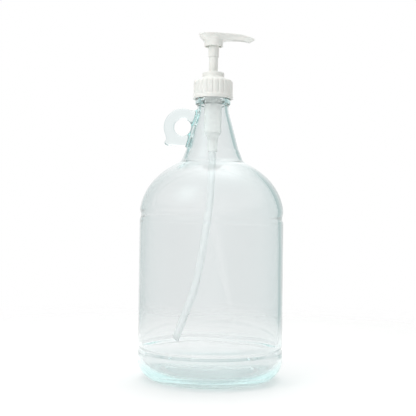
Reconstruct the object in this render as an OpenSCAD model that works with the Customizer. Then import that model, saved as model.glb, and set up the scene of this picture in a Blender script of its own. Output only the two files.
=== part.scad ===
// One-gallon glass finger-ring jug with a lock-down soap pump.
// Origin: centre of the jug's base on the surface it stands on. +Z up, spout towards +X,
// finger ring towards -X. Millimetres.

/* [Jug] */
// Largest diameter of the jug, at its heel band
jug_d = 158; // [150:1:166]
// Wall thickness of the jug's body and neck
glass_t = 3.7; // [3.2:0.1:4.2]
// Height of the glass rim above the base plane
rim_z = 319; // [319:1:319]
// Radius of the rounded heel
heel_r = 23; // [20:1:25]
// Height of the dome above its widest level
dome_h = 64.7; // [63:0.1:66]
// Outer radius at the foot of the tapered neck
neck_foot_r = 28.9; // [28:0.1:30]
// Outer radius at the top of the tapered neck
neck_top_r = 17.4; // [17.3:0.1:17.6]
// Bore radius of the mouth
mouth_r = 13.6; // [13.4:0.1:13.8]

/* [Finger ring] */
// Distance of the ring's centre from the jug's axis
ring_x = 32.9; // [32:0.1:34]
// Height of the ring's centre
ring_z = 274.9; // [273:0.1:276]
// Radius of the finger hole
finger_r = 9.4; // [9:0.1:10]
// Outer radius of the ring
ring_r = 20.9; // [20:0.1:21.5]
// Thickness of the ring, front to back
ring_w = 13; // [11:0.5:14]

/* [Closure] */
// Outer radius of the cap over its ribs
cap_r = 21.6; // [21.2:0.1:22]
// Number of grip ribs round the cap
cap_ribs = 22; // [16:1:30]
// Pitch of the neck thread
thread_pitch = 4.233; // [4.233:0.001:4.233]
// Turns of the neck thread
thread_turns = 1.25; // [1:0.25:1.25]

/* [Pump] */
// Outer radius of the hollow stem
stem_r = 5.0; // [4.9:0.05:5.05]
// Inner radius of the pump cylinder
chamber_r = 8.3; // [8.2:0.1:8.4]
// Travel of the pump head from rest to locked down
stroke = 33.5; // [30:0.5:33.5]
// Active coils of the return spring
spring_coils = 7; // [6:1:8]
// Wire radius of the return spring
spring_wire_r = 0.5; // [0.4:0.05:0.5]
// Height of the flat top of the pump head
head_top_z = 379; // [378:0.5:380]
// Reach of the spout from the pump's axis
spout_reach = 46; // [44:0.5:50]

/* [Dip tube] */
// Outer radius of the dip tube
dip_r = 4.0; // [3.9:0.05:4.05]
// Wall of the dip tube
dip_t = 1.0; // [0.8:0.1:1.2]
// Radius and angle of the tube's upper bend
dip_bend_1 = [286, 9.1];
// Radius and angle of the tube's lower bend
dip_bend_2 = [150, 10.8];

/* [Hidden] */
$fn = 96;

// Colours
glass_c = [0.80, 0.92, 0.90, 0.35];
white_c = [0.94, 0.95, 0.93];
natural_c = [0.88, 0.90, 0.90];
steel_c = [0.72, 0.73, 0.75];

// Jug levels
body_r = jug_d / 2;
inner_r = body_r - 0.1 - glass_t;
heel_band_z = 31;
panel_low_z = 37;
panel_top_z = 172.8;
shoulder_z = 180.2;
dome_z = 178.7;
neck_ring_z = 239;
neck_foot_z = 250.5;
neck_top_z = 294;
bead_z = [300.5, 304.5];
bead_r = 19.4;
finish_r = 17.5;
floor_t = 7.5;
punt_h = 5;

// Thread on the finish and inside the cap
thread_z = 309.5;
thread_crest_r = 18.65;
cap_bore_r = 19.1;
cap_crest_r = 17.95;
lead_angle = atan(thread_pitch / (2 * PI * finish_r));

// Cap and collar levels
cap_low_z = 306.3;
cap_top_z = 328.3;
band_z = 310;
gasket_z = rim_z;
flange_z = rim_z + 1.2;
collar_low_z = cap_top_z + 0.1;
collar_top_z = 335.4;
collar_r = 12;
recess_z = 330.6;

// Pump levels
guide_low_z = 315.2;
piston_low_z = 305;
piston_h = 7;
piston_slip = 1.4;
seat_low_z = 303;
stem_low_z = 304.6;
stem_top_z = 372;
sleeve_low_z = 353;
sleeve_bore_r = 6.3;
sleeve_stop_z = sleeve_low_z - stroke - 0.5;
skirt_low_z = 364.6;
skirt_r = 10.35;
droop_x = 20;
droop_r = 63;
valve_z = 255.2;
ball_r = 2.8;
valve_r = 2.3;
retainer_z = 261;
retainer_h = 1;
housing_low_z = 248;
dip_top_z = 253.8;
dip_straight = 33;
dip_middle = 58;
dip_end = 52;
dip_cut = 0.35;
fit = 0.05;

// Points along an arc, from angle a0 to angle a1
function arc(c, r, a0, a1, n) =
    [for (i = [0:n]) let (a = a0 + (a1 - a0) * i / n) [c[0] + r * cos(a), c[1] + r * sin(a)]];

// Points along a quarter-like ellipse centred on the axis
function ellipse_run(z, a, b, t0, t1, n) =
    [for (i = [0:n]) let (t = t0 + (t1 - t0) * i / n) [a * cos(t), z + b * sin(t)]];

module ring(r_out, r_in, z0, z1) {
    difference() {
        translate([0, 0, z0]) cylinder(r = r_out, h = z1 - z0);
        translate([0, 0, z0 - 1]) cylinder(r = r_in, h = z1 - z0 + 2);
    }
}

// ---- Glass jug ----

module jug_outside() {
    rotate_extrude() polygon(concat(
        [[0, punt_h], [20, punt_h], [44, 1.6], [50, 0]],
        arc([body_r - heel_r, heel_r], heel_r, -90, 0, 9),
        [[body_r, heel_band_z], [body_r - 1.5, heel_band_z + 2.2], [body_r - 1.5, heel_band_z + 3.8],
         [body_r - 0.2, panel_low_z], [body_r - 0.2, panel_top_z],
         [body_r - 1.6, panel_top_z + 2.4], [body_r - 1.6, shoulder_z - 2.6],
         [body_r - 0.7, shoulder_z]],
        ellipse_run(dome_z, body_r - 0.1, dome_h, 4, 63, 14),
        [[33.4, neck_ring_z], [32, neck_ring_z + 1.2], [31.2, 244.5], [30.4, 247.6],
         [neck_foot_r, neck_foot_z], [neck_top_r, neck_top_z], [neck_top_r, 298.5],
         [bead_r - 0.6, bead_z[0]], [bead_r, bead_z[0] + 0.9], [bead_r, bead_z[1] - 0.9],
         [bead_r - 0.8, bead_z[1]], [finish_r, bead_z[1] + 1], [finish_r, rim_z - 0.8],
         [finish_r - 0.8, rim_z], [0, rim_z]]));
}

module jug_inside() {
    rotate_extrude() polygon(concat(
        [[0, punt_h + floor_t], [24, punt_h + floor_t], [46, floor_t + 1]],
        arc([inner_r - 17, 25], 17, -90, 0, 8),
        ellipse_run(dome_z, inner_r, dome_h - glass_t, 0, 68, 14),
        [[26.2, 237.6], [24.8, 247], [mouth_r, 292], [mouth_r, rim_z + 1], [0, rim_z + 1]]));
}

module ring_section() {
    half = (ring_r - finger_r) / 2;
    round_r = 3.6;
    translate([finger_r + half, 0]) polygon(concat(
        arc([half - round_r, ring_w / 2 - round_r], round_r, 0, 90, 4),
        arc([-half + 2, ring_w / 2 - 2], 2, 90, 180, 3),
        arc([-half + 2, -ring_w / 2 + 2], 2, 180, 270, 3),
        arc([half - round_r, -ring_w / 2 + round_r], round_r, 270, 360, 4)));
}

// Web of the handle: the straight left side, the foot with its lug, and the bridge to the neck
module handle_web() {
    depth = ring_w - 2;
    translate([0, depth / 2, 0]) rotate([90, 0, 0]) linear_extrude(depth) polygon([
        [-52.2, ring_z - 4], [-51.6, 262], [-53.4, 258.6], [-53.2, 255.4], [-50.5, 254.6],
        [-29, 254.4], [-22, 254.4], [-14, 292], [-19, 293.2], [-24, 294.8], [-ring_x, ring_z + ring_r - 0.6],
        [-ring_x - 12, ring_z + 14]]);
}

// Thread as quarter-turn runs of a ridge, each tilted by the lead angle. w_root is the ridge's
// width where it sinks into the wall, so its flanks cut the wall cleanly.
module thread_run(r_root, r_crest, w_root, w_crest, z0, turns) {
    outward = r_crest > r_root ? 1 : -1;
    sink = r_root - 0.6 * outward;
    for (i = [0:floor(turns * 4) - 1])
        translate([0, 0, z0 + thread_pitch * i / 4]) rotate([0, 0, 90 * i])
            rotate([lead_angle, 0, 0]) rotate([0, 0, -40]) rotate_extrude(angle = 80) polygon([
                [sink, -w_root / 2], [r_crest, -w_crest / 2], [r_crest, w_crest / 2], [sink, w_root / 2]]);
}

module glass_jug() {
    color(glass_c) difference() {
        union() {
            jug_outside();
            translate([-ring_x, 0, ring_z]) rotate([90, 0, 0]) rotate_extrude() ring_section();
            handle_web();
            thread_run(finish_r, thread_crest_r, 2.4, 1.2, thread_z, thread_turns);
        }
        jug_inside();
        translate([-ring_x, ring_w, ring_z]) rotate([90, 0, 0]) cylinder(r = finger_r, h = 2 * ring_w);
    }
}

// ---- Closure cap ----

module cap_shell() {
    rotate_extrude() polygon(concat(
        [[cap_bore_r + 0.4, cap_low_z], [cap_r + 0.5, cap_low_z], [cap_r + 0.5, band_z - 0.6],
         [cap_r, band_z]],
        arc([cap_r - 4.2, cap_top_z - 5.2], 4.2, 0, 70, 5),
        [[14.6, cap_top_z], [12.6, cap_top_z], [12.6, flange_z + 1.9], [15, flange_z + 1.9],
         [15, cap_top_z - 2.6], [17.4, cap_top_z - 3.4], [cap_bore_r, cap_top_z - 5.4],
         [cap_bore_r, cap_low_z + 0.6]]));
}

module closure_cap() {
    rib_pitch = 360 / cap_ribs;
    color(white_c) union() {
        difference() {
            cap_shell();
            for (i = [0:cap_ribs - 1]) rotate([0, 0, rib_pitch * i])
                translate([cap_r + 0.55, 0, band_z + 0.4]) cylinder(r = 1.25, h = 30, $fn = 24);
        }
        thread_run(cap_bore_r, cap_crest_r, 1.7, 0.9,
            thread_z - thread_pitch / 2 + 0.25, thread_turns);
    }
}

// ---- Lock collar, gasket and housing ----

module lock_collar() {
    color(white_c) difference() {
        rotate_extrude() polygon([
            [9.6, 309.5], [11.1, 309.5], [11.1, collar_low_z], [13.6, collar_low_z],
            [13.6, collar_low_z + 0.5], [12.4, 330.4], [collar_r, 330.8],
            [collar_r, 331.5], [collar_r + 0.4, 331.7], [collar_r + 0.4, 332.2], [collar_r, 332.4],
            [collar_r, 333.2], [collar_r + 0.4, 333.4], [collar_r + 0.4, 333.9], [collar_r, 334.1],
            [collar_r, collar_top_z - 0.4], [collar_r - 0.3, collar_top_z], [11.2, collar_top_z],
            [11.2, 334.6], [10.75, 334.3], [10.75, 333.6], [11.2, 333.3], [11.2, 332.6],
            [10.75, 332.3], [10.75, 331.6], [11.2, 331.3], [11.2, recess_z], [sleeve_bore_r + 0.5, recess_z],
            [sleeve_bore_r, recess_z - 0.5], [sleeve_bore_r, sleeve_stop_z], [stem_r + 0.08, sleeve_stop_z],
            [stem_r + 0.08, guide_low_z], [sleeve_bore_r + 1.3, guide_low_z],
            [sleeve_bore_r + 1.3, 328], [9.6, 328]]);
    }
}

module neck_gasket() {
    color(natural_c) ring(17.2, 12.7, gasket_z, flange_z);
}

module pump_housing() {
    color(white_c) difference() {
        rotate_extrude() polygon([
            [5.5, housing_low_z], [5.5, 261.5], [6.5, 264.5], [9.6, 268.6], [9.6, 306],
            [12.4, 308.6], [12.4, flange_z], [17.4, flange_z], [17.4, flange_z + 1.8],
            [12.3, flange_z + 1.8], [12.3, 327.8], [11.15, 327.8], [11.15, 308.8],
            [chamber_r, 306.4], [chamber_r, 269.3], [stem_r, 266.6], [stem_r, retainer_z],
            [4, retainer_z], [4, 257.6], [valve_r, valve_z], [valve_r, dip_top_z + 0.2],
            [dip_r + 0.02, dip_top_z + 0.2], [dip_r + 0.02, housing_low_z + 0.6],
            [dip_r + 0.4, housing_low_z]]);
        // Air vent below the flange
        translate([0, 0, 313]) rotate([0, 90, 0]) cylinder(r = 0.6, h = 20, $fn = 24);
    }
}

// ---- Dip tube ----

// Route of the tube's centre line in the XZ plane, as [x, z, lean towards -X]
function bend_run(start, b, n) =
    [for (i = [0:n]) let (a = start[2] + b[1] * i / n)
        [start[0] - b[0] * (cos(start[2]) - cos(a)), start[1] - b[0] * (sin(a) - sin(start[2])), a]];

function ahead(p, s) = [p[0] - s * sin(p[2]), p[1] - s * cos(p[2]), p[2]];

module dip_tube() {
    sides = 24;
    top = [0, dip_top_z, 0];
    upper = bend_run(ahead(top, dip_straight), dip_bend_1, 5);
    lower = bend_run(ahead(upper[5], dip_middle), dip_bend_2, 6);
    route = concat([top], upper, lower, [ahead(lower[6], dip_end)]);
    last = len(route) - 1;
    // Rings of points square to the route; the last one is cut on a slant
    points = [for (r = [dip_r, dip_r - dip_t]) for (i = [0:last]) for (k = [0:sides - 1])
        let (q = 360 * k / sides, c = route[i], u = r * cos(q), s = i == last ? dip_cut * u : 0)
            [c[0] + u * cos(c[2]) - s * sin(c[2]), r * sin(q), c[1] - u * sin(c[2]) - s * cos(c[2])]];
    inner = (last + 1) * sides;
    walls = [for (i = [0:last - 1]) for (k = [0:sides - 1]) let (n = (k + 1) % sides, a = i * sides)
        each [[a + k, a + n, a + sides + n, a + sides + k],
              [inner + a + n, inner + a + k, inner + a + sides + k, inner + a + sides + n]]];
    ends = [for (k = [0:sides - 1]) let (n = (k + 1) % sides, a = last * sides)
        each [[n, k, inner + k, inner + n], [a + k, a + n, inner + a + n, inner + a + k]]];
    color(natural_c) polyhedron(points, concat(walls, ends));
}

// ---- Valve, spring and piston ----

module inlet_ball() {
    color(glass_c) translate([0, 0, valve_z + sqrt(ball_r * ball_r - valve_r * valve_r) + 0.03])
        sphere(r = ball_r, $fn = 48);
}

module ball_retainer() {
    color(white_c) union() {
        ring(4.95, 3.4, retainer_z, retainer_z + retainer_h);
        for (a = [0, 90]) rotate([0, 0, a])
            translate([-3.7, -0.6, retainer_z]) cube([7.4, 1.2, retainer_h]);
    }
}

// Helix swept by rings of eight points
module return_spring() {
    mean_r = 4.05;
    low = retainer_z + retainer_h + spring_wire_r + 0.02;
    high = seat_low_z - spring_wire_r - 0.02;
    steps = 16 * spring_coils;
    sides = 8;
    points = [for (i = [0:steps]) let (t = 360 * i / 16, z = low + (high - low) * i / steps)
        for (k = [0:sides - 1]) let (q = 360 * k / sides, r = mean_r + spring_wire_r * cos(q))
            [r * cos(t), r * sin(t), z + spring_wire_r * sin(q)]];
    walls = [for (i = [0:steps - 1]) for (k = [0:sides - 1]) let (n = (k + 1) % sides)
        [i * sides + k, (i + 1) * sides + k, (i + 1) * sides + n, i * sides + n]];
    start = [for (k = [0:sides - 1]) k];
    finish = [for (k = [0:sides - 1]) (steps + 1) * sides - 1 - k];
    color(steel_c) polyhedron(points, concat(walls, [start], [finish]));
}

module piston_seat() {
    color(natural_c) difference() {
        rotate_extrude() polygon([
            [0, seat_low_z - 4], [2.6, seat_low_z - 4], [3.3, seat_low_z - 3], [3.3, seat_low_z],
            [6.2, seat_low_z], [6.2, stem_low_z], [3.35, stem_low_z], [3.35, stem_low_z + 7.4],
            [2.6, stem_low_z + 8.4], [0, stem_low_z + 8.4]]);
        // Flutes that let the soap past the plug
        for (a = [0:90:270]) rotate([0, 0, a])
            translate([3.6, 0, stem_low_z]) cylinder(r = 1.2, h = 12, $fn = 24);
    }
}

module piston() {
    color(natural_c) rotate_extrude() polygon([
        [stem_r + fit, piston_low_z], [7.3, piston_low_z], [7.8, piston_low_z + 0.4],
        [chamber_r - fit, piston_low_z + 0.2], [chamber_r - fit, piston_low_z + 1.2],
        [7.7, piston_low_z + 2.2], [7.7, piston_low_z + 4.8],
        [chamber_r - fit, piston_low_z + 5.8], [chamber_r - fit, piston_low_z + 6.8],
        [7.4, piston_low_z + 6.8], [6.9, piston_low_z + 4.2], [6.3, piston_low_z + 4.2],
        [6.3, piston_low_z + piston_h], [stem_r + fit, piston_low_z + piston_h]]);
}

module piston_stem() {
    color(white_c) difference() {
        union() {
            translate([0, 0, stem_low_z]) cylinder(r = stem_r, h = stem_top_z - stem_low_z);
            // Stop collar between the piston and the lock collar's guide
            translate([0, 0, piston_low_z + piston_h + piston_slip + 0.1]) cylinder(r = 5.9, h = 1.3);
        }
        translate([0, 0, stem_low_z - 1]) cylinder(r = 3.4, h = stem_top_z - stem_low_z + 2);
        // Inlet slots uncovered when the piston slips up
        for (a = [0, 90]) rotate([0, 0, a])
            translate([-8, -1.2, stem_low_z - 1]) cube([16, 2.4, 2.4]);
    }
}

// ---- Pump head ----

// Plan of the thumb pad and spout, drawn inset from the rim by d
module head_plan(d) {
    pad_x = -5.4;
    side = concat(arc([pad_x, 0], 11 - d, 180, 70, 10),
        [[4, 9.7 - d], [9, 8.6 - d], [14, 6.6 - d], [20, 5.3 - d], [spout_reach, 3.3 - d]]);
    last = len(side) - 1;
    polygon(concat(side, [for (i = [last:-1:1]) [side[i][0], -side[i][1]]]));
}

// Side view of the head: drooping spout, bevelled tip and rounded pad
module head_side() {
    low_r = 39.6;
    polygon(concat(
        [[-16.8, 376.8], [-16.5, head_top_z - 0.9], [-15.4, head_top_z]],
        arc([droop_x, head_top_z - droop_r], droop_r, 90, 65.6, 7),
        [[39.6, 369.2]],
        arc([26, 371.5 - low_r], low_r, 70, 90, 4),
        [[11.4, 371.5], [9.8, 370.4], [9, 369.6], [-9, 369.6], [-10.4, 370.2], [-13, 371.8],
         [-15.4, 374.2]]));
}

module along_y(depth) {
    translate([0, depth / 2, 0]) rotate([90, 0, 0]) linear_extrude(depth) children();
}

module head_body() {
    plate_t = 1.7;
    intersection() {
        along_y(40) head_side();
        translate([0, 0, 366]) linear_extrude(20) head_plan(0);
        union() {
            translate([0, 0, 366]) linear_extrude(20) head_plan(0.7);
            // Overhanging top plate, following the drooping top of the spout
            along_y(40) polygon(concat(
                [[-20, head_top_z - plate_t - 3], [-20, head_top_z + 1],
                 [spout_reach + 2, head_top_z + 1]],
                arc([droop_x, head_top_z - droop_r], droop_r - plate_t, 64.5, 90, 6),
                [[14, head_top_z - plate_t], [-6, head_top_z - plate_t - 3]]));
        }
    }
}

module actuator_head() {
    channel_z = 375.2;
    color(white_c) difference() {
        union() {
            head_body();
            translate([0, 0, skirt_low_z]) cylinder(r = skirt_r, h = 8);
        }
        // Hollow of the skirt, round the inner sleeve
        ring(skirt_r - 1.3, 6.1, skirt_low_z - 1, 370.4);
        // Socket for the stem
        translate([0, 0, sleeve_low_z]) cylinder(r = stem_r + 0.02, h = stem_top_z - sleeve_low_z);
        translate([0, 0, 370]) cylinder(r = 3, h = channel_z - 370);
        // Outlet channel, sloping down to the tip
        translate([0, 0, channel_z]) rotate([0, 94.6, 0]) cylinder(r = 1.9, h = 60);
        translate([0, 0, channel_z]) sphere(r = 1.9);
    }
    color(white_c) difference() {
        translate([0, 0, sleeve_low_z]) cylinder(r1 = 5.75, r2 = 6.1, h = skirt_low_z + 6 - sleeve_low_z);
        translate([0, 0, sleeve_low_z - 1]) cylinder(r = stem_r + 0.02, h = 30);
    }
}

glass_jug();
closure_cap();
lock_collar();
neck_gasket();
pump_housing();
dip_tube();
inlet_ball();
ball_retainer();
return_spring();
piston_seat();
piston();
piston_stem();
actuator_head();
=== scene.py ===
"""Soap pump dispenser: a clear glass finger-ring jug with a white lock-down pump.

Lengths in the builders below are millimetres in the row frame; mesh objects are made in metres.
"""

import math

import bpy
import numpy as np
from mathutils import Matrix, Vector


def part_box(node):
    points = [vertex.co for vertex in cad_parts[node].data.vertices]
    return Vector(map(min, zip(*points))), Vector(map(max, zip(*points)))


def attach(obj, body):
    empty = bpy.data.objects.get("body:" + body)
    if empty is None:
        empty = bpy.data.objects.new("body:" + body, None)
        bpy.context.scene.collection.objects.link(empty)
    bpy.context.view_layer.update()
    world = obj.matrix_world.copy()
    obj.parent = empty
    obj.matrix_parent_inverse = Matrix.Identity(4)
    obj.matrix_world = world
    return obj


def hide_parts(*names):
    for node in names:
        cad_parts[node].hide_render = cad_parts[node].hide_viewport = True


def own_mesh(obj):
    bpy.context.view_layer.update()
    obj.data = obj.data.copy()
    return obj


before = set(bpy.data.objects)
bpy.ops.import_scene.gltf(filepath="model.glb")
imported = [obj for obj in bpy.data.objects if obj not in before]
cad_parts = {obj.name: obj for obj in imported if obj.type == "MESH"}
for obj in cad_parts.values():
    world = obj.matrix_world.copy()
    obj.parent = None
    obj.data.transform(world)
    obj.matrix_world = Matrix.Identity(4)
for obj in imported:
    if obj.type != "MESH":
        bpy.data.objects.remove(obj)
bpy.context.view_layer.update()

MM = 0.001


def level(node, top=False):
    """Lowest or highest level of a CAD node, in millimetres."""
    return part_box(node)[1 if top else 0].z / MM


def half_width(node):
    """Half of a CAD node's width along Y, in millimetres."""
    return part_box(node)[1].y / MM


# ---- Driving dimensions, read from the frame ----

BODY_R = half_width("glass_jug")
RIM_Z = level("glass_jug", top=True)
CAP_LOW = level("closure_cap")
CAP_TOP = level("closure_cap", top=True)
COLLAR_TOP = level("lock_collar", top=True)
HEAD_TOP = level("actuator_head", top=True)
SLEEVE_LOW = level("actuator_head")
SPOUT_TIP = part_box("actuator_head")[1].x / MM
HOUSING_LOW = level("pump_housing")

GLASS_T = 3.7
MOUTH_R = 13.6
FINISH_R = 17.5
THREAD_PITCH = 4.233
THREAD_H = 1.1
THREAD_TURNS = 1.25
THREAD_Z = 309.5
DIP_R = 4.0


# ---- Camera ----

CAMERA_BACK = 879
CAMERA_UP = 164.5
CAMERA_SIDE = -4.0
CAMERA_PITCH = 1.43
CAMERA_ROLL = 0.72
SENSOR_W = 36
LENS = 69.2


def make_camera():
    """A level camera in front of the jug, turned and rolled by a degree or so."""
    camera = bpy.data.objects.new("camera", bpy.data.cameras.new("camera"))
    bpy.context.scene.collection.objects.link(camera)
    camera.data.sensor_width = SENSOR_W
    camera.data.lens = LENS
    turn = Matrix.Rotation(math.radians(90 + CAMERA_PITCH), 4, "X")
    roll = Matrix.Rotation(math.radians(CAMERA_ROLL), 4, "Z")
    place = Matrix.Translation(Vector((CAMERA_SIDE, -CAMERA_BACK, CAMERA_UP)) * MM)
    camera.matrix_world = place @ turn @ roll
    bpy.context.scene.camera = camera


# ---- Mesh builders ----

def new_object(name, points, faces):
    """A smooth-shaded mesh object from points in millimetres."""
    mesh = bpy.data.meshes.new(name)
    places = [tuple(p) for p in np.asarray(points) * MM]
    mesh.from_pydata(places, [], [list(map(int, f)) for f in faces])
    mesh.validate()
    mesh.polygons.foreach_set("use_smooth", [True] * len(mesh.polygons))
    mesh.update()
    made = bpy.data.objects.new(name, mesh)
    bpy.context.scene.collection.objects.link(made)
    return made


def arc(centre, radius, start, end, count):
    """Points on an arc, angles in degrees."""
    turn = np.radians(np.linspace(start, end, count + 1))
    return [(centre[0] + radius * math.cos(a), centre[1] + radius * math.sin(a)) for a in turn]


def rounded(corners, steps=5):
    """An outline whose corners (x, y, radius) are rounded. The first and last corners stay sharp."""
    out = [corners[0][:2]]
    for before, here, after in zip(corners, corners[1:], corners[2:]):
        p = np.array(here[:2], float)
        radius = here[2] if len(here) > 2 else 0
        to_before, to_after = np.array(before[:2]) - p, np.array(after[:2]) - p
        a, b = np.linalg.norm(to_before), np.linalg.norm(to_after)
        u, v = to_before / a, to_after / b
        half = math.acos(np.clip(u @ v, -1, 1)) / 2
        if radius <= 0 or half > math.radians(88):
            out.append(tuple(p))
            continue
        reach = min(radius / math.tan(half), 0.49 * a, 0.49 * b)
        for t in np.linspace(0, 1, steps + 1):
            q = (1 - t) ** 2 * (p + u * reach) + 2 * t * (1 - t) * p + t**2 * (p + v * reach)
            out.append(tuple(q))
    out.append(corners[-1][:2])
    return out


def refined(outline, longest):
    """The outline with its long edges split, so that no edge is over longest."""
    out = [outline[0]]
    for a, b in zip(outline, outline[1:]):
        parts = max(1, math.ceil(math.dist(a, b) / longest))
        a, b = np.array(a), np.array(b)
        out += [tuple(a + (b - a) * i / parts) for i in range(1, parts + 1)]
    return out


def lathe(name, outline, segments=192, closed=True, shape=None):
    """Turns an outline of (radius, z) about Z. shape(r, z, angle) may move the points of the grid.

    A closed outline makes a ring; an open one starts and ends on the axis.
    """
    r, z = np.array(outline, float).T
    angle = np.linspace(0, 2 * math.pi, segments, endpoint=False)
    rr, aa = np.meshgrid(r, angle, indexing="ij")
    zz = np.repeat(z[:, None], segments, 1)
    if shape:
        rr, zz = shape(rr, zz, aa)
    points = np.stack([rr * np.cos(aa), rr * np.sin(aa), zz], -1).reshape(-1, 3)
    rows = len(outline)
    faces = []
    for i in range(rows if closed else rows - 1):
        a, b = i * segments, (i + 1) % rows * segments
        for k in range(segments):
            n = (k + 1) % segments
            if not closed and i == 0:
                faces.append((a, b + n, b + k))
            elif not closed and i == rows - 2:
                faces.append((a + k, a + n, b))
            else:
                faces.append((a + k, a + n, b + n, b + k))
    return new_object(name, points, faces)


def swept_tube(name, centres, leans, outer, inner, sides=32, cut=0.0):
    """A hollow tube along centre points in the XZ plane. leans are its angles from straight down.

    cut is the slope of its far end.
    """
    turn = np.linspace(0, 2 * math.pi, sides, endpoint=False)
    loops = []
    for radius in (outer, inner):
        for i, ((x, z), lean) in enumerate(zip(centres, leans)):
            u = radius * np.cos(turn)
            s = cut * u if i == len(centres) - 1 else 0 * u
            loops.append(np.stack([x + u * math.cos(lean) - s * math.sin(lean), radius * np.sin(turn),
                                   z - u * math.sin(lean) - s * math.cos(lean)], -1))
    count = len(centres)
    faces = []
    for k in range(sides):
        n = (k + 1) % sides
        for i in range(count - 1):
            a, b = i * sides, (i + 1) * sides
            c, d = (count + i) * sides, (count + i + 1) * sides
            faces += [(a + k, b + k, b + n, a + n), (c + n, d + n, d + k, c + k)]
        last, inner_last = (count - 1) * sides, (2 * count - 1) * sides
        faces.append((k, n, count * sides + n, count * sides + k))
        faces.append((last + n, last + k, inner_last + k, inner_last + n))
    return new_object(name, np.concatenate(loops), faces)


def crossed_edges(grid, value, axis, step):
    """Which grid edges along an axis are crossed, where, and which of them start inside."""
    first, second = [slice(None)] * 3, [slice(None)] * 3
    first[axis], second[axis] = slice(0, -1), slice(1, None)
    fa, fb = value[tuple(first)], value[tuple(second)]
    cross = (fa < 0) != (fb < 0)
    share = np.where(cross, fa / np.where(cross, fa - fb, 1), 0)
    point = grid[tuple(first)].copy()
    point[..., axis] += share * step
    return cross, point, fa < 0


def net_quads(axis, cross, first_inside, index):
    """A quad round each crossed edge, through the points of the four cells that share it."""
    u, v = [a for a in range(3) if a != axis]
    at = np.argwhere(cross)
    at = at[(at[:, u] > 0) & (at[:, v] > 0)]
    at = at[(at[:, u] < index.shape[u]) & (at[:, v] < index.shape[v])]
    quad = []
    for du, dv in ((1, 1), (0, 1), (0, 0), (1, 0)):
        cell = at.copy()
        cell[:, u] -= du
        cell[:, v] -= dv
        quad.append(index[tuple(cell.T)])
    quad = np.stack(quad, -1)
    flip = first_inside[tuple(at.T)] == (axis == 1)
    quad[flip] = quad[flip][:, ::-1]
    return quad


def field_mesh(name, field, low, high, step):
    """The closed surface where field(points) is 0, found by surface nets and then drawn onto it."""
    axes = [np.arange(a, b + step, step) for a, b in zip(low, high)]
    grid = np.stack(np.meshgrid(*axes, indexing="ij"), -1)
    value = field(grid)
    cells = tuple(n - 1 for n in value.shape)
    total, count = np.zeros(cells + (3,)), np.zeros(cells)
    edges = [crossed_edges(grid, value, axis, step) for axis in range(3)]
    for axis, (cross, point, _) in enumerate(edges):
        others = [a for a in range(3) if a != axis]
        for starts in ((0, 0), (0, 1), (1, 0), (1, 1)):
            part = [slice(None)] * 3
            for other, start in zip(others, starts):
                part[other] = slice(start, cells[other] + start)
            total += np.where(cross[tuple(part)][..., None], point[tuple(part)], 0)
            count += cross[tuple(part)]
    used = count > 0
    index = np.full(cells, -1)
    index[used] = np.arange(used.sum())
    points = total[used] / count[used][:, None]
    for _ in range(3):
        points = drawn_onto(field, points, step)
    faces = [net_quads(axis, cross, inside, index) for axis, (cross, _, inside) in enumerate(edges)]
    return new_object(name, points, np.concatenate(faces))


def drawn_onto(field, points, step):
    """Each point moved along the field's slope to where the field is 0, by half a step at most."""
    small = step * 0.1
    value = field(points)
    slope = np.stack([(field(points + d) - field(points - d)) / (2 * small)
                      for d in np.eye(3) * small], -1)
    size = np.maximum((slope**2).sum(-1), 0.05)
    move = -value[:, None] * slope / size[:, None]
    reach = np.linalg.norm(move, axis=-1, keepdims=True)
    return points + move * np.minimum(1, 0.5 * step / np.maximum(reach, 1e-9))


# ---- Distance fields, in millimetres, negative inside ----

def union(a, b, blend):
    """Either shape, with a fillet where they meet."""
    h = np.maximum(blend - np.abs(a - b), 0) / blend
    return np.minimum(a, b) - h * h * blend / 4


def both(a, b, blend):
    """What lies in both shapes, with the edge between them rounded."""
    return -union(-a, -b, blend)


def polygon_distance(u, v, outline):
    """Distance of (u, v) to a closed outline, negative inside."""
    nearest = np.full(u.shape, 1e9)
    sign = np.ones(u.shape)
    corners = np.array(outline, float)
    for (ax, ay), (bx, by) in zip(corners, np.roll(corners, -1, 0)):
        ex, ey = bx - ax, by - ay
        wx, wy = u - ax, v - ay
        t = np.clip((wx * ex + wy * ey) / (ex * ex + ey * ey), 0, 1)
        nearest = np.minimum(nearest, (wx - ex * t) ** 2 + (wy - ey * t) ** 2)
        above, below = v >= ay, v < by
        left = ex * wy > ey * wx
        sign = np.where((above & below & left) | (~above & ~below & ~left), -sign, sign)
    return sign * np.sqrt(nearest)


# ---- Glass jug ----

HEEL_R = 23
PUNT_H = 5
FLOOR_T = 5.8
DOME_Z = 178.7
DOME_H = 64.7
NECK_FOOT = (28.9, 250.5)
NECK_TOP = (17.4, 294)
BEAD_R = 19.4
BEAD_Z = (300.5, 304.5)
LOW_GROOVE_Z = 34.2
HIGH_GROOVE_Z = 176.5
GROOVE_D = 1.5
WAVE_H = 0.10
INNER_WAVE_H = 0.28
SEAM_H = 0.14
KNURLS = 110
KNURL_H = 0.5


def dome(radius, height, start, end, count):
    """Points (radius, z) on the shoulder's quarter ellipse, angles in degrees from its foot."""
    turn = np.radians(np.linspace(start, end, count + 1))
    return [(radius * math.cos(t), DOME_Z + height * math.sin(t)) for t in turn]


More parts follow.
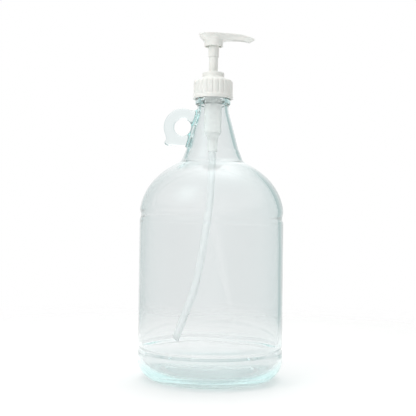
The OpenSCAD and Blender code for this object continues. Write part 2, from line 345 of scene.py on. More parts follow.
def jug_outer_outline():
    """Push-up, bearing ring, heel, lower groove, wall, upper groove, shoulder, neck, bead, finish."""
    wall = BODY_R
    low, high = LOW_GROOVE_Z, HIGH_GROOVE_Z
    lower = rounded([
        (0, PUNT_H), (20, PUNT_H, 6), (44, 1.4, 6), (49, 0, 1.5),
        (wall - HEEL_R, 0, 1.5), (wall - HEEL_R + 2, 0.1)])
    heel = arc((wall - HEEL_R, HEEL_R), HEEL_R, -80, 0, 22)
    notches = rounded([
        (wall, HEEL_R + 0.5), (wall, low - 3.2, 3), (wall - GROOVE_D, low - 0.6, 2.5),
        (wall - GROOVE_D, low + 0.4, 2.5), (wall - 0.2, low + 3.4, 4), (wall - 0.2, high - 4.5, 6),
        (wall - GROOVE_D, high - 0.7, 4), (wall - GROOVE_D, high + 0.9, 4),
        (wall - 0.75, high + 4.5, 5), (wall - 0.3, high + 6.5)])
    shoulder = dome(wall - 0.1, DOME_H, 5, 61, 40)
    neck = rounded([
        shoulder[-1], (33.6, 238.6, 10), (30.4, 247.6, 8),
        (NECK_FOOT[0], NECK_FOOT[1], 8), (NECK_TOP[0], NECK_TOP[1], 8), (NECK_TOP[0], 299, 1),
        (BEAD_R - 0.2, BEAD_Z[0], 1.2), (BEAD_R, 302.5, 3), (BEAD_R - 0.2, BEAD_Z[1], 1.2),
        (FINISH_R, BEAD_Z[1] + 1, 0.6), (FINISH_R, RIM_Z, 1.4), (0, RIM_Z)])
    return refined(lower + heel[1:] + notches + shoulder + neck[1:], 2.5)


def jug_inner_outline():
    """The hollow's floor, heel, shoulder, neck and mouth, carried past the rim."""
    wall = BODY_R - GLASS_T
    lower = rounded([(0, PUNT_H + FLOOR_T), (24, PUNT_H + FLOOR_T, 12), (46, FLOOR_T + 1.2, 12),
                     (wall - 17, FLOOR_T + 0.6)])
    heel = arc((wall - 17, 25), 17, -88, 0, 18)
    shoulder = dome(wall, DOME_H - GLASS_T, 0, 60, 40)
    neck = rounded([
        shoulder[-1], (30.2, 235.5, 14), (24.8, 251, 14), (MOUTH_R, 293, 24),
        (MOUTH_R, RIM_Z, 1.2), (MOUTH_R + 1.4, RIM_Z + 2), (0, RIM_Z + 2)], 10)[1:]
    return refined(lower + heel + shoulder + neck, 2.5)


def waves(angle, z, seed, sizes):
    """Smooth irregular waves round a body of revolution, at most about 1 high.

    sizes are their rough lengths, in degrees round the body and in millimetres up it.
    """
    rng = np.random.default_rng(seed)
    total = np.zeros(np.broadcast(angle, z).shape)
    for length in sizes:
        for _ in range(4):
            turns = rng.integers(0, max(2, int(360 / length)))
            rise = rng.uniform(-1, 1) * 2 * math.pi / length
            total = total + np.sin(turns * angle + rise * z + rng.uniform(0, 6.28))
    return total / (4 * len(sizes)) * 1.8


def bump(x, width):
    """A smooth hump, 1 at x = 0 and 0 past width."""
    return np.where(np.abs(x) < width, np.cos(np.clip(x / width, -1, 1) * math.pi / 2) ** 2, 0)


def ridge_height(z, angle, crest_z, turns, width):
    """Height, 0 to 1, of a right-hand screw ridge whose crest starts at crest_z at angle 0."""
    total = np.zeros(np.broadcast(angle, z).shape)
    for lap in range(int(turns) + 1):
        along = angle / (2 * math.pi) + lap
        ends = np.clip(np.minimum(along, turns - along) * 14, 0, 1)
        total = np.maximum(total, bump(z - crest_z - THREAD_PITCH * along, width) ** 0.6 * ends)
    return total


def shape_outside(r, z, angle):
    """Mould seams, knurled bearing ring, thread and slight unevenness of the outer surface."""
    body = np.clip((z - 6) / 20, 0, 1) * np.clip((298 - z) / 20, 0, 1)
    out = r + WAVE_H * body * (waves(angle, z, 3, (60, 110)) - 1)
    seam = bump(np.angle(np.exp(1j * 2 * angle)) / 2, 0.009)
    out += SEAM_H * seam * body * (r > 20) * (r < BODY_R - 0.15)
    # Knurls on the heel just outside the bearing ring
    knurl = bump(z - 2.6, 2.2) * (r > 57) * (r < 72)
    out += KNURL_H * knurl * np.sin(angle * KNURLS) ** 2
    on_finish = (z > 306) & (z < RIM_Z - 1) & (r > 15)
    thread = ridge_height(z, angle, THREAD_Z, THREAD_TURNS, 1.25)
    out += np.where(on_finish, THREAD_H * thread, 0)
    # The upper groove runs a little lower on the spout's side
    sag = -1.6 * np.cos(angle) * bump(z - HIGH_GROOVE_Z, 14)
    return out, z + sag


def shape_inside(r, z, angle):
    """The blown inner surface is wavier than the moulded outer one and follows its grooves loosely.

    The wall is thicker on the spout's side, most of all round the shoulder.
    """
    body = np.clip((z - 10) / 25, 0, 1) * np.clip((300 - z) / 20, 0, 1)
    out = r + INNER_WAVE_H * body * waves(angle, z, 8, (45, 80, 140))
    out -= np.where(r > 60, 1.2 * (bump(z - HIGH_GROOVE_Z, 7) + bump(z - LOW_GROOVE_Z, 6)), 0)
    side = np.cos(angle) * np.clip((240 - z) / 20, 0, 1) * body
    return out - side * (0.8 + 1.3 * bump(z - 200, 45) * (side > 0)), z


# The finger ring's centre is RING_X to the left of the jug's axis
RING_X = 32.9
RING_Z = 274.9
FINGER_R = 9.4
RING_R = 20.9
RING_HALF_W = 6.5
HANDLE_BOX = ((-56, -11, 250), (-7, 11, 301))
HANDLE_STEP = 0.7


def neck_radius(z):
    """Radius of the neck's outer cone."""
    share = (z - NECK_FOOT[1]) / (NECK_TOP[1] - NECK_FOOT[1])
    return NECK_FOOT[0] + (NECK_TOP[0] - NECK_FOOT[0]) * np.clip(share, -0.2, 1)


def handle_field(p):
    """Finger ring with its foot and lug as one slab with rounded edges, filleted into the neck."""
    x, y, z = p[..., 0], p[..., 1], p[..., 2]
    away = np.hypot(x + RING_X, z - RING_Z)
    foot = polygon_distance(x, z, [
        (-52.4, RING_Z), (-51.2, 266), (-51.0, 261.5), (-52.9, 258.4), (-52.6, 256.2), (-49.8, 254.8),
        (-24, 254.4), (-20, 270), (-30, 270)])
    bridge = polygon_distance(x, z, [
        (-RING_X, RING_Z + 13), (-RING_X, RING_Z + 20.4), (-27, 293.9), (-15, 293.2), (-16, 282)])
    plan = union(union(away - RING_R, foot, 1.5), bridge, 1.5)
    plan = both(plan, FINGER_R - away, 0.5)
    handle = both(plan, np.abs(y) - RING_HALF_W, 5)
    neck = (np.hypot(x, y) - neck_radius(z)) * 0.966 + 0.12
    solid = union(neck, handle, 4)
    keep = np.maximum(np.maximum(x + 9, np.abs(y) - 9.5), np.maximum(251.5 - z, z - 299))
    return np.maximum(solid, keep)


def combine(base, other, operation):
    """Applies a boolean of other to base and removes other."""
    cut = base.modifiers.new("combine", "BOOLEAN")
    cut.object, cut.operation, cut.solver = other, operation, "MANIFOLD"
    dg = bpy.context.evaluated_depsgraph_get()
    mesh = bpy.data.meshes.new_from_object(base.evaluated_get(dg))
    base.modifiers.clear()
    base.data = mesh
    bpy.data.objects.remove(other)


def make_jug():
    """The solid jug with its finger ring, less the hollow."""
    jug = lathe("jug_glass", jug_outer_outline(), 288, closed=False, shape=shape_outside)
    handle = field_mesh("handle", handle_field, *HANDLE_BOX, HANDLE_STEP)
    combine(jug, handle, "UNION")
    hollow = lathe("hollow", jug_inner_outline(), 256, closed=False, shape=shape_inside)
    combine(jug, hollow, "DIFFERENCE")
    jug.data.polygons.foreach_set("use_smooth", [True] * len(jug.data.polygons))
    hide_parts("glass_jug")
    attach(jug, "jug")
    return jug


# ---- Cap ----

CAP_R = half_width("closure_cap") - 0.5
CAP_BORE_R = 19.1
CAP_PORT_R = 12.6
CAP_PANEL_LOW = 322.1
RIBS = 22
RIB_H = 0.95
BAND_TOP = CAP_LOW + 3.7


def shape_cap(r, z, angle):
    """Twenty-two flat ribs with rounded grooves between them, and the screw ridge in the bore."""
    outside = (r > CAP_R - 3.5) & (z > BAND_TOP - 0.4) & (z < CAP_TOP - 0.8)
    phase = np.angle(np.exp(1j * (RIBS * angle + math.pi))) / (2 * math.pi)
    groove = bump(phase, 0.24) ** 0.8
    run_out = np.clip((z - BAND_TOP) / 1.2, 0, 1) * np.clip((CAP_TOP - 0.8 - z) / 3.5, 0, 1)
    out = r - np.where(outside, RIB_H * groove * np.sqrt(run_out), 0)
    bore = (r > CAP_BORE_R - 0.5) & (r < CAP_BORE_R + 0.4) & (z < CAP_TOP - 6)
    thread = ridge_height(z, angle, THREAD_Z - THREAD_PITCH / 2 + 0.25, THREAD_TURNS, 0.95)
    return out - np.where(bore, THREAD_H * thread, 0), z


def make_cap():
    """Cap with a plain band at its foot, a port for the pump and a rounded upper edge."""
    outline = refined(rounded([
        (CAP_BORE_R + 0.3, CAP_LOW + 0.6), (CAP_BORE_R + 0.5, CAP_LOW, 0.3),
        (CAP_R + 0.5, CAP_LOW, 0.5), (CAP_R + 0.5, BAND_TOP, 0.7), (CAP_R, BAND_TOP + 0.6, 0.6),
        (CAP_R, CAP_TOP - 1.2, 4.6), (14.4, CAP_TOP, 1.5), (CAP_PORT_R, CAP_TOP, 0.3),
        (CAP_PORT_R, CAP_PANEL_LOW, 0.2), (15, CAP_PANEL_LOW, 0.2), (15, CAP_TOP - 2.6, 0.5),
        (17.4, CAP_TOP - 3.4, 0.5), (CAP_BORE_R, CAP_TOP - 5.4, 1), (CAP_BORE_R, CAP_LOW + 1, 0.3),
        (CAP_BORE_R + 0.3, CAP_LOW + 0.6)])[:-1], 0.45)
    cap = lathe("cap_shell", outline, RIBS * 16, shape=shape_cap)
    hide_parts("closure_cap")
    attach(cap, "cap")
    return cap


# ---- Lock collar, housing, gasket ----

COLLAR_R = 12
COLLAR_FLOOR = 330.6
COLLAR_PLUG_LOW = 309.5
RECESS_R = 11.2
SLEEVE_BORE_R = 6.3
STEM_BORE_R = 5.1
GUIDE_LOW = 315.2
GUIDE_STEP = 319
LOCK_PITCH = 1.6
LOCK_LOW = 330.9
LOCK_H = 0.42
CYLINDER_R = 9.6
CYLINDER_BORE_R = 8.35


def shape_collar(r, z, angle):
    """Fine screw lines outside and the lock-down screw ridge inside the recess."""
    low, high = LOCK_LOW - 0.1, COLLAR_TOP - 0.6
    outside = (r > COLLAR_R - 0.3) & (z > low) & (z < high)
    turn = (z - LOCK_LOW) / LOCK_PITCH - angle / (2 * math.pi)
    lines = np.cos(2 * math.pi * turn) * 0.5 + 0.5
    fade = np.clip((z - low) / 0.6, 0, 1) * np.clip((high - z) / 0.6, 0, 1)
    out = r + np.where(outside, LOCK_H * lines**3 * fade, 0)
    low, high = LOCK_LOW + 0.1, COLLAR_TOP - 0.4
    recess = (np.abs(r - RECESS_R) < 0.2) & (z > low)
    fade = np.clip((z - low) / 0.4, 0, 1) * np.clip((high - z) / 0.4, 0, 1)
    return out - np.where(recess, (LOCK_H - 0.02) * lines**3 * fade, 0), z


def make_collar():
    """Ring on the cap with a recess for the head, a stepped guide tube and a plug in the housing."""
    foot = CAP_TOP + 0.1
    plug = COLLAR_PLUG_LOW
    outline = refined(rounded([
        (9.6, plug + 0.2), (9.6, plug, 0.1), (11.1, plug, 0.2), (11.1, foot, 0.1), (13.6, foot, 0.1),
        (13.6, foot + 0.6, 0.3), (COLLAR_R + 0.3, COLLAR_FLOOR - 0.2, 0.5), (COLLAR_R, 331, 0.3),
        (COLLAR_R, COLLAR_TOP, 0.35), (RECESS_R, COLLAR_TOP, 0.2), (RECESS_R, COLLAR_FLOOR, 0.3),
        (6.8, COLLAR_FLOOR, 0.3), (SLEEVE_BORE_R, COLLAR_FLOOR - 0.5, 0.2),
        (SLEEVE_BORE_R, GUIDE_STEP, 0.1), (STEM_BORE_R, GUIDE_STEP, 0.2),
        (STEM_BORE_R, GUIDE_LOW, 0.2), (7.6, GUIDE_LOW, 0.2), (7.6, 328, 0.4), (9.6, 328, 0.4),
        (9.6, plug + 0.2)])[:-1], 0.35)
    collar = lathe("collar_ring", outline, 192, shape=shape_collar)
    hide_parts("lock_collar")
    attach(collar, "pump_body")
    return collar


def make_housing():
    """Tube socket, ball seat, cylinder, wide upper end and flange."""
    flange = level("neck_gasket", top=True)
    low, bore, socket = HOUSING_LOW, CYLINDER_BORE_R, DIP_R + 0.03
    outline = refined(rounded([
        (4.5, low), (5.5, low, 0.3), (5.5, 261.5, 1), (6.5, 264.5, 1), (CYLINDER_R, 268.6, 1.5),
        (CYLINDER_R, 306, 1), (12.4, 308.6, 1), (12.4, flange, 0.3), (17.4, flange, 0.4),
        (17.4, flange + 1.8, 0.4), (12.3, flange + 1.8, 0.3), (12.3, 327.8, 0.3),
        (11.15, 327.8, 0.2), (11.15, 308.8, 0.5), (bore, 306.4, 0.5), (bore, 269.3, 1), (5, 266.6, 0.5),
        (5, 261), (4, 261, 0.2), (4, 257.6, 0.5), (2.3, 255.2, 0.2), (2.3, 254), (socket, 254, 0.1),
        (socket, low + 0.8, 0.2), (4.5, low)])[:-1], 1.2)
    housing = lathe("housing_tube", outline, 128)
    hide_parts("pump_housing")
    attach(housing, "pump_body")
    return housing


def make_gasket():
    """Flat foam ring under the housing's flange."""
    low, high = level("neck_gasket"), level("neck_gasket", top=True)
    inner, outer, edge = 12.8, 17.1, 0.3
    outline = rounded([(14, low), (outer, low, edge), (outer, high, edge), (inner, high, edge),
                       (inner, low, edge), (14, low)])[:-1]
    gasket = lathe("gasket_foam", outline, 128)
    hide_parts("neck_gasket")
    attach(gasket, "pump_body")
    return gasket


# ---- Dip tube ----

DIP_T = 0.9
DIP_TOP = 253.8
DIP_STRAIGHT = 33
DIP_MIDDLE = 58
DIP_END = 52
# Radius in millimetres and turn in degrees of each bend
DIP_BENDS = ((286, 9.1), (150, 10.8))
DIP_CUT = 0.35


def dip_route():
    """Centre points (x, z) and angles from straight down: straight, bend, straight, bend, straight."""
    x, z, lean = 0.0, DIP_TOP, 0.0
    centres, leans = [(x, z)], [lean]

    def straight(length, parts):
        nonlocal x, z
        for _ in range(parts):
            x -= length / parts * math.sin(lean)
            z -= length / parts * math.cos(lean)
            centres.append((x, z))
            leans.append(lean)

    def bend(radius, degrees, parts):
        nonlocal x, z, lean
        for _ in range(parts):
            after = lean + math.radians(degrees) / parts
            x -= radius * (math.cos(lean) - math.cos(after))
            z -= radius * (math.sin(after) - math.sin(lean))
            lean = after
            centres.append((x, z))
            leans.append(lean)

    straight(DIP_STRAIGHT, 8)
    bend(*DIP_BENDS[0], 12)
    straight(DIP_MIDDLE, 14)
    bend(*DIP_BENDS[1], 16)
    straight(DIP_END, 10)
    return centres, leans


def make_dip_tube():
    """The bent tube with its slanted lower end."""
    centres, leans = dip_route()
    tube = swept_tube("dip_pipe", centres, leans, DIP_R, DIP_R - DIP_T, 40, cut=DIP_CUT)
    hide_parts("dip_tube")
    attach(tube, "pump_body")
    return tube


# ---- Spring ----

def make_spring():
    """A wire helix between two closed end coils."""
    low, high = level("return_spring"), level("return_spring", top=True)
    wire, mean_r, coils = 0.5, 4.05, 7
    steps, sides = 40 * (coils + 2), 10
    t = np.linspace(0, 1, steps + 1)
    turns = t * (coils + 2)
    # One dead coil at each end, then an even pitch between them
    free = np.clip((turns - 1) / coils, 0, 1)
    dead = np.clip(turns, 0, 1) + np.clip(turns - coils - 1, 0, 1)
    z = low + wire + dead * 2 * wire + free * (high - low - 6 * wire)
    around = turns * 2 * math.pi
    ring = np.linspace(0, 2 * math.pi, sides, endpoint=False)
    r = mean_r + wire * np.cos(ring)[None, :]
    points = np.stack([r * np.cos(around)[:, None], r * np.sin(around)[:, None],
                       z[:, None] + wire * np.sin(ring)[None, :]], -1).reshape(-1, 3)
    faces = [tuple(range(sides)), tuple(steps * sides + k for k in reversed(range(sides)))]
    for i in range(steps):
        for k in range(sides):
            n = (k + 1) % sides
            a, b = i * sides, (i + 1) * sides
            faces.append((a + k, b + k, b + n, a + n))
    spring = new_object("spring_wire", points, faces)
    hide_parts("return_spring")
    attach(spring, "pump_body")
    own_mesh(spring)
    return spring


# ---- Pump head ----

PAD_X = -5.4
PAD_R = 11
PLATE_T = 1.7
SKIRT_R = 10.35
SKIRT_T = 1.3
SKIRT_LOW = 364.6
SLEEVE_R = 5.75
SOCKET_R = 5.06
RISER_R = 3
CHANNEL_R = 1.9
CHANNEL_Z = 375.2
CHANNEL_FALL = math.radians(4.6)
DROOP_X = 20
DROOP_R = 63
SPOUT_LOW = 371.5
UNDER_DROOP_X = 26
UNDER_DROOP_R = 39.6
HEAD_STEP = 0.34


def head_plan_outline():
    """The round thumb pad running out into the spout, from above."""
    half = arc((PAD_X, 0), PAD_R, 180, 80, 14) + [
        (0.5, 10.3), (4.5, 9.4), (8.5, 8.0), (12.5, 6.7), (17, 5.8), (23, 5.1), (30, 4.5),
        (38, 3.9), (SPOUT_TIP + 1, 3.4)]
    return half + [(x, -y) for x, y in reversed(half[1:])]


def spout_top(x):
    """Level of the drooping top."""
    past = np.clip(x - DROOP_X, 0, 40)
    return HEAD_TOP - (DROOP_R - np.sqrt(DROOP_R**2 - past**2))


def spout_bottom(x):
    """Level of the drooping underside."""
    past = np.clip(x - UNDER_DROOP_X, 0, 20)
    return SPOUT_LOW - (UNDER_DROOP_R - np.sqrt(UNDER_DROOP_R**2 - past**2))


def head_body(x, y, z):
    """Thumb pad and drooping spout, with a plate that stands proud along the top."""
    plan = polygon_distance(x, y, head_plan_outline())
    dish = 0.35 * np.exp(-((x + 3) ** 2 + y**2) / 55)
    below_top = z - spout_top(x) + dish
    plate = both(plan, np.maximum(below_top, -below_top - PLATE_T), 0.8)
    body_plan = plan + 0.8
    # The pad's underside tapers to the skirt
    bowl = (np.hypot(x, y) - (SKIRT_R + 0.2) - np.clip(z - 370.4, 0, 9) * 1.05) * 0.69
    spout_body = both(body_plan, np.maximum(below_top, spout_bottom(x) - z), 1.2)
    spout_body = both(spout_body, 2 - x, 1)
    pad_body = both(both(body_plan, np.maximum(below_top, 369.4 - z), 1.2), bowl, 1.5)
    tip_cut = (x - SPOUT_TIP) * 0.55 - (z - 373.6) * 0.83
    body = union(union(spout_body, pad_body, 1.5), plate, 0.8)
    return both(body, np.maximum(tip_cut, below_top), 0.6)


def head_passages(x, y, z):
    """Socket for the stem, riser, and the outlet channel that falls to the spout's tip."""
    axis_r = np.hypot(x, y)
    socket = np.maximum(axis_r - SOCKET_R, z - 372)
    riser = np.maximum(axis_r - RISER_R, z - CHANNEL_Z)
    sin, cos = math.sin(CHANNEL_FALL), math.cos(CHANNEL_FALL)
    along = x * cos - (z - CHANNEL_Z) * sin
    across = np.hypot(y, x * sin + (z - CHANNEL_Z) * cos)
    channel = np.maximum(across - CHANNEL_R, -along)
    return np.minimum(np.minimum(socket, riser), channel)


def head_field(p):
    """The whole pump head: body, hollow skirt, inner sleeve, and the passages through them."""
    x, y, z = p[..., 0], p[..., 1], p[..., 2]
    axis_r = np.hypot(x, y)
    skirt = both(axis_r - SKIRT_R, np.maximum(SKIRT_LOW - z, z - 374), 0.8)
    solid = union(head_body(x, y, z), skirt, 0.9)
    hollow = both(np.maximum(axis_r - SKIRT_R + SKIRT_T, SLEEVE_R + 0.3 - axis_r), z - 370.4, 0.8)
    solid = both(solid, -hollow, 0.4)
    sleeve_r = SLEEVE_R + 0.35 * np.clip((z - SLEEVE_LOW) / 12, 0, 1)
    sleeve = both(axis_r - sleeve_r, np.maximum(SLEEVE_LOW - z, z - 373), 0.5)
    return both(np.minimum(solid, sleeve), -head_passages(x, y, z), 0.3)


def make_head():
    step = HEAD_STEP
    head = field_mesh("pump_head", head_field, (-18, -12.5, SLEEVE_LOW - 1),
                      (SPOUT_TIP + 1.5, 12.5, HEAD_TOP + 1), step)
    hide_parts("actuator_head")
    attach(head, "head")
    return head


def make_stem():
    """Hollow stem with its stop collar."""
    low, high = level("piston_stem"), level("piston_stem", top=True)
    outline = refined(rounded([
        (4.2, low), (5, low, 0.2), (5, 313.5, 0.1), (5.9, 313.5, 0.2), (5.9, 314.8, 0.2),
        (5, 314.8, 0.1), (5, high, 0.3), (3.4, high, 0.3), (3.4, low, 0.2), (4.2, low)])[:-1], 2)
    stem = lathe("stem_tube", outline, 96)
    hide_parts("piston_stem")
    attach(stem, "plunger")
    return stem


# ---- Materials ----

GLASS_IOR = 1.5
PLASTIC_IOR = 1.49
MILKY_IOR = 1.15
SCATTER_DEPTH = 0.0012
# Share of the lamps' light that goes through one surface
GLASS_LETS = (0.996, 0.997, 0.997)
MILKY_LETS = (0.94, 0.95, 0.95)
# Mirrorings and bounces after which a ray goes straight on
MOST_MIRRORED = 2.5
MOST_BOUNCES = 9.5


def material(name):
    """A new material with its nodes, links and main shader."""
    made = bpy.data.materials.new(name)
    made.use_nodes = True
    nodes, links = made.node_tree.nodes, made.node_tree.links
    return made, nodes, links, nodes["Principled BSDF"]


def math_node(nodes, links, operation, *values):
    """One step of arithmetic on values, which are numbers or sockets."""
    made = nodes.new("ShaderNodeMath")
    made.operation = operation
    for socket, value in zip(made.inputs, values):
        if isinstance(value, (int, float)):
            socket.default_value = value
        else:
            links.new(value, socket)
    return made.outputs["Value"]


def graded(nodes, links, source, low, high, first, last):
    """A smooth step of source: first below low, last above high."""
    made = nodes.new("ShaderNodeMapRange")
    made.interpolation_type = "SMOOTHSTEP"
    for socket, value in zip(("From Min", "From Max", "To Min", "To Max"), (low, high, first, last)):
        made.inputs[socket].default_value = value
    links.new(source, made.inputs["Value"])
    return made.outputs["Result"]


def noise(nodes, links, scale, detail):
    """Noise that is fixed to the piece, scale per metre."""
    place = nodes.new("ShaderNodeTexCoord")
    texture = nodes.new("ShaderNodeTexNoise")
    texture.inputs["Scale"].default_value = scale
    texture.inputs["Detail"].default_value = detail
    links.new(place.outputs["Object"], texture.inputs["Vector"])
    return texture.outputs["Fac"]


def ramp(nodes, links, source, low, high):
    """source from 0 to 1, as colours between low and high."""
    made = nodes.new("ShaderNodeValToRGB")
    made.color_ramp.elements[0].color = (*low, 1)
    made.color_ramp.elements[1].color = (*high, 1)
    made.color_ramp.elements[0].position = 0.3
    made.color_ramp.elements[1].position = 0.7
    links.new(source, made.inputs["Fac"])
    return made.outputs["Color"]


def bumped(nodes, links, shader, source, height, strength):
    """Small unevenness of the surface, height in metres."""
    made = nodes.new("ShaderNodeBump")
    made.inputs["Strength"].default_value = strength
    made.inputs["Distance"].default_value = height
    links.new(source, made.inputs["Height"])
    links.new(made.outputs["Normal"], shader.inputs["Normal"])


def spread(nodes, links, source, low, high):
    """source from 0 to 1, as a value between low and high."""
    made = nodes.new("ShaderNodeMapRange")
    made.inputs["To Min"].default_value = low
    made.inputs["To Max"].default_value = high
    links.new(source, made.inputs["Value"])
    return made.outputs["Result"]


def add_passage(nodes, links, shader, share, colour):
    """A share of the rays goes straight through the surface and takes on the colour."""
    clear, mix = nodes.new("ShaderNodeBsdfTransparent"), nodes.new("ShaderNodeMixShader")
    clear.inputs["Color"].default_value = (*colour, 1)
    links.new(share, mix.inputs["Fac"])
    links.new(shader.outputs["BSDF"], mix.inputs[1])
    links.new(clear.outputs["BSDF"], mix.inputs[2])
    links.new(mix.outputs["Shader"], nodes["Material Output"].inputs["Surface"])


def glass_material(name, tint, colour, density):
    """Clear, faintly smeared glass whose thick parts take a colour.

    Lamps reach what is behind it, and a ray that has bounced often inside it goes straight on.
    """
    made, nodes, links, shader = material(name)
    shader.inputs["Base Color"].default_value = (*tint, 1)
    shader.inputs["Transmission Weight"].default_value = 1
    shader.inputs["IOR"].default_value = GLASS_IOR
    smears = noise(nodes, links, 38, 4)
    links.new(spread(nodes, links, smears, 0.0, 0.035), shader.inputs["Roughness"])
    bumped(nodes, links, shader, noise(nodes, links, 26, 1.5), 0.00035, 0.25)
    volume = nodes.new("ShaderNodeVolumeAbsorption")
    volume.inputs["Color"].default_value = (*colour, 1)
    volume.inputs["Density"].default_value = density
    links.new(volume.outputs["Volume"], nodes["Material Output"].inputs["Volume"])
    path = nodes.new("ShaderNodeLightPath").outputs
    glossy = math_node(nodes, links, "GREATER_THAN", path["Glossy Depth"], MOST_MIRRORED)
    deep = math_node(nodes, links, "GREATER_THAN", path["Ray Depth"], MOST_BOUNCES)
    lost = math_node(nodes, links, "MAXIMUM", glossy, deep)
    straight = math_node(nodes, links, "MAXIMUM", path["Is Shadow Ray"], lost)
    add_passage(nodes, links, shader, straight, GLASS_LETS)
    return made


def plastic_material(name, low, high, roughness, scatter, ior=PLASTIC_IOR):
    """Moulded plastic: slightly uneven colour and gloss, with a fine moulded bump."""
    made, nodes, links, shader = material(name)
    cloud = noise(nodes, links, 90, 4)
    links.new(ramp(nodes, links, cloud, low, high), shader.inputs["Base Color"])
    links.new(spread(nodes, links, noise(nodes, links, 240, 5), *roughness), shader.inputs["Roughness"])
    shader.inputs["IOR"].default_value = ior
    shader.inputs["Subsurface Weight"].default_value = scatter
    shader.inputs["Subsurface Radius"].default_value = (0.9, 1.0, 1.0)
    shader.inputs["Subsurface Scale"].default_value = SCATTER_DEPTH
    bumped(nodes, links, shader, noise(nodes, links, 900, 3), 0.00008, 0.5)
    return made


def milky_material(name, low, high, roughness, clearness, painted_glow):
    """Thin natural polyethylene: lets the light through and scatters it; its glow is painted light, an
    emission that brightens it where more scattered light would.
    """
    made = plastic_material(name, low, high, roughness, 0, MILKY_IOR)
    nodes, links = made.node_tree.nodes, made.node_tree.links
    shader = nodes["Principled BSDF"]
    shader.inputs["Transmission Weight"].default_value = clearness
    # Painted light: a faint emission in the light colour brightens the part in place of the light it
    # would scatter
    shader.inputs["Emission Color"].default_value = (*high, 1)
    shader.inputs["Emission Strength"].default_value = painted_glow
    shadow = nodes.new("ShaderNodeLightPath").outputs["Is Shadow Ray"]
    add_passage(nodes, links, shader, shadow, MILKY_LETS)
    return made


def metal_material(name, colour, roughness):
    """Drawn metal wire with an uneven, finely scratched surface."""
    made, nodes, links, shader = material(name)
    shader.inputs["Metallic"].default_value = 1
    low = tuple(0.86 * c for c in colour)
    links.new(ramp(nodes, links, noise(nodes, links, 600, 4), low, colour), shader.inputs["Base Color"])
    links.new(spread(nodes, links, noise(nodes, links, 900, 5), *roughness), shader.inputs["Roughness"])
    bumped(nodes, links, shader, noise(nodes, links, 2500, 2), 0.00003, 0.6)
    return made


def paint(obj, made):
    obj.data.materials.clear()
    obj.data.materials.append(made)


# ---- Studio ----

# Distances from the jug, in metres, between which the floor fades away
FLOOR_FADE = (0.20, 0.90)
FLOOR_COLOURS = ((0.90, 0.90, 0.90), (0.92, 0.92, 0.92))


def make_floor():
    """A pale floor that melts into the white room away from the jug."""
    bpy.ops.mesh.primitive_plane_add(size=2.2 * FLOOR_FADE[1], location=(0, 0, 0))
    floor = bpy.context.object
    floor.name = "floor"
    made, nodes, links, shader = material("pale_floor")
    cloud = noise(nodes, links, 3, 2)
    links.new(ramp(nodes, links, cloud, *FLOOR_COLOURS), shader.inputs["Base Color"])
    shader.inputs["Roughness"].default_value = 0.8
    shader.inputs["Specular IOR Level"].default_value = 0.1
    place, away = nodes.new("ShaderNodeTexCoord"), nodes.new("ShaderNodeVectorMath")
    away.operation = "LENGTH"
    links.new(place.outputs["Object"], away.inputs[0])
    links.new(graded(nodes, links, away.outputs["Value"], *FLOOR_FADE, 1, 0), shader.inputs["Alpha"])
    paint(floor, made)


# Direction, strength and width of each soft glow that the glass and plastic mirror
SOFT_LAMPS = (
    ((-0.55, -0.47, 0.69), 1.3, 0.05),
    ((0.15, 0.24, 0.96), 1.4, 0.08),
)

# Colour of the room's dimmer parts, and the same as the glass bends them
ROOM_TINT = (0.99, 1.0, 0.985, 1)
BENT_TINT = (0.44, 1.0, 0.99, 1)

# Each: a direction's share along an axis from and to, and the room's brightness there
FRONT_TO_BACK = (-0.6, 0.9, 0.50, 1.0)
TO_LEFT = (-0.75, -0.14, 0.60, 1.0)
TO_RIGHT = (0.10, 0.60, 1.0, 0.62)
TO_EITHER_SIDE = (0.35, 0.85, 1.0, 0.84)

# Place, size and power of each softbox that lights the matt surfaces, and where they point
SOFTBOXES = (
    ("key_left", (-1.0, -0.7, 0.75), (0.7, 0.8), 6.1),
    ("top", (0.0, 0.1, 1.5), (1.0, 1.0), 5.1),
    ("fill_right", (0.75, -1.2, 0.45), (0.8, 0.8), 3.1),
)
LIT_POINT = (0, 0, 0.2)


def make_softbox(name, place, size, power):
    """An area light that only matt surfaces meet, so that the glass mirrors the room alone."""
    lamp = bpy.data.lights.new(name, "AREA")
    lamp.shape = "RECTANGLE"
    lamp.size, lamp.size_y = size
    lamp.energy = power
    box = bpy.data.objects.new(name, lamp)
    bpy.context.scene.collection.objects.link(box)
    box.location = place
    box.rotation_mode = "QUATERNION"
    box.rotation_quaternion = (Vector(LIT_POINT) - Vector(place)).to_track_quat("-Z", "Y")
    box.visible_glossy = box.visible_transmission = False


def soft_lamp(nodes, links, direction, toward, strength, width):
    """A round soft glow of the room's wall, in the given direction."""
    dot = nodes.new("ShaderNodeVectorMath")
    dot.operation = "DOT_PRODUCT"
    dot.inputs[1].default_value = Vector(toward).normalized()
    links.new(direction, dot.inputs[0])
    fall = math_node(nodes, links, "MULTIPLY_ADD", dot.outputs["Value"], 1 / width, -1 / width)
    return math_node(nodes, links, "MULTIPLY", math_node(nodes, links, "EXPONENT", fall), strength)


def wall_brightness(nodes, links, x, y):
    """The room's walls: bright behind, dimmer in front and to either side."""
    depth = graded(nodes, links, y, *FRONT_TO_BACK)
    left = graded(nodes, links, x, *TO_LEFT)
    right = graded(nodes, links, x, *TO_RIGHT)
    return math_node(nodes, links, "MULTIPLY", depth, math_node(nodes, links, "MULTIPLY", left, right))


def seen_through(nodes, links, path, x):
    """About 1 where the room is seen straight through the glass, and 0 where it is mirrored."""
    unmirrored = math_node(nodes, links, "LESS_THAN", path["Glossy Depth"], 0.5)
    head_on = graded(nodes, links, math_node(nodes, links, "ABSOLUTE", x), *TO_EITHER_SIDE)
    plain = math_node(nodes, links, "MULTIPLY", unmirrored, head_on)
    return math_node(nodes, links, "MULTIPLY", path["Is Transmission Ray"], plain)


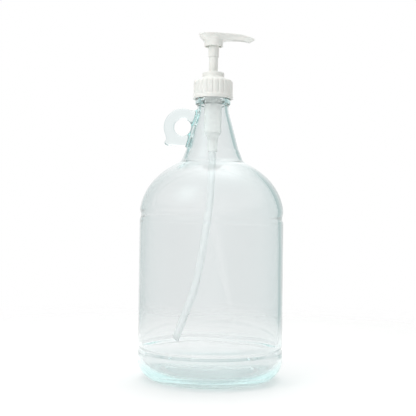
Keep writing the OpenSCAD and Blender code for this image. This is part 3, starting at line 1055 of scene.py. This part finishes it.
def wall_colour(nodes, links, path, whiteness):
    """The room's tint, which whiteness takes from full to none."""
    dim, tint = nodes.new("ShaderNodeMixRGB"), nodes.new("ShaderNodeMixRGB")
    dim.inputs["Color1"].default_value = ROOM_TINT
    dim.inputs["Color2"].default_value = BENT_TINT
    tint.inputs["Color2"].default_value = (1, 1, 1, 1)
    links.new(path["Is Transmission Ray"], dim.inputs["Fac"])
    links.new(dim.outputs["Color"], tint.inputs["Color1"])
    links.new(whiteness, tint.inputs["Fac"])
    return tint.outputs["Color"]


def make_world():
    """A white room, plain to the camera: bright behind, dimmer in front and on the right (+X).

    What is seen straight through the glass is nearly plain too, from every side. Mirrored light,
    as at the glass's edges, meets the dimmer parts.
    """
    world = bpy.data.worlds.new("studio")
    bpy.context.scene.world = world
    world.use_nodes = True
    nodes, links = world.node_tree.nodes, world.node_tree.links
    direction = nodes.new("ShaderNodeTexCoord").outputs["Generated"]
    path = nodes.new("ShaderNodeLightPath").outputs
    split = nodes.new("ShaderNodeSeparateXYZ")
    links.new(direction, split.inputs["Vector"])
    walls = wall_brightness(nodes, links, split.outputs["X"], split.outputs["Y"])
    through = seen_through(nodes, links, path, split.outputs["X"])
    strength = walls
    for toward, peak, width in SOFT_LAMPS:
        lamp = soft_lamp(nodes, links, direction, toward, peak, width)
        strength = math_node(nodes, links, "ADD", strength, lamp)
    room, white = nodes["Background"], nodes.new("ShaderNodeBackground")
    white.inputs["Color"].default_value = (1, 1, 1, 1)
    whiteness = math_node(nodes, links, "MAXIMUM", walls, through)
    links.new(wall_colour(nodes, links, path, whiteness), room.inputs["Color"])
    links.new(math_node(nodes, links, "MAXIMUM", strength, through), room.inputs["Strength"])
    front = nodes.new("ShaderNodeMixShader")
    links.new(path["Is Camera Ray"], front.inputs["Fac"])
    links.new(room.outputs["Background"], front.inputs[1])
    links.new(white.outputs["Background"], front.inputs[2])
    links.new(front.outputs["Shader"], nodes["World Output"].inputs["Surface"])


def make_studio():
    make_floor()
    make_world()
    for name, place, size, power in SOFTBOXES:
        make_softbox(name, place, size, power)
    bpy.context.scene.view_settings.view_transform = "Standard"


# ---- Assembly ----

make_camera()
make_studio()

clear_glass = glass_material("clear_glass", (0.936, 0.936, 0.938), (0.40, 0.84, 0.83), 11.0)
valve_glass = glass_material("valve_glass", (0.97, 0.98, 0.98), (0.8, 0.9, 0.9), 4.0)
white_pp = plastic_material("white_pp", (0.91, 0.92, 0.88), (0.94, 0.95, 0.91), (0.24, 0.36), 0.25)
# The last number of milky_pp and tube_pe is their painted glow, an emission that brightens them
milky_pp = milky_material("milky_pp", (0.92, 0.92, 0.91), (0.95, 0.945, 0.935), (0.20, 0.30), 0.6, 0.06)
tube_pe = milky_material("tube_pe", (0.86, 0.87, 0.87), (0.89, 0.895, 0.895), (0.40, 0.52), 0.6, 0.045)
soft_pe = plastic_material("soft_pe", (0.80, 0.83, 0.83), (0.85, 0.88, 0.88), (0.30, 0.42), 0.4)
foam = plastic_material("foam_pe", (0.84, 0.84, 0.82), (0.90, 0.90, 0.88), (0.75, 0.9), 0.1)
steel = metal_material("spring_steel", (0.70, 0.71, 0.73), (0.22, 0.34))

paint(make_jug(), clear_glass)
paint(make_cap(), white_pp)
paint(make_collar(), white_pp)
paint(make_housing(), milky_pp)
paint(make_gasket(), foam)
paint(make_dip_tube(), tube_pe)
paint(make_spring(), steel)
paint(make_head(), white_pp)
paint(make_stem(), white_pp)
paint(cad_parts["inlet_ball"], valve_glass)
for name in ("ball_retainer", "piston_seat", "piston"):
    paint(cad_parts[name], soft_pe)
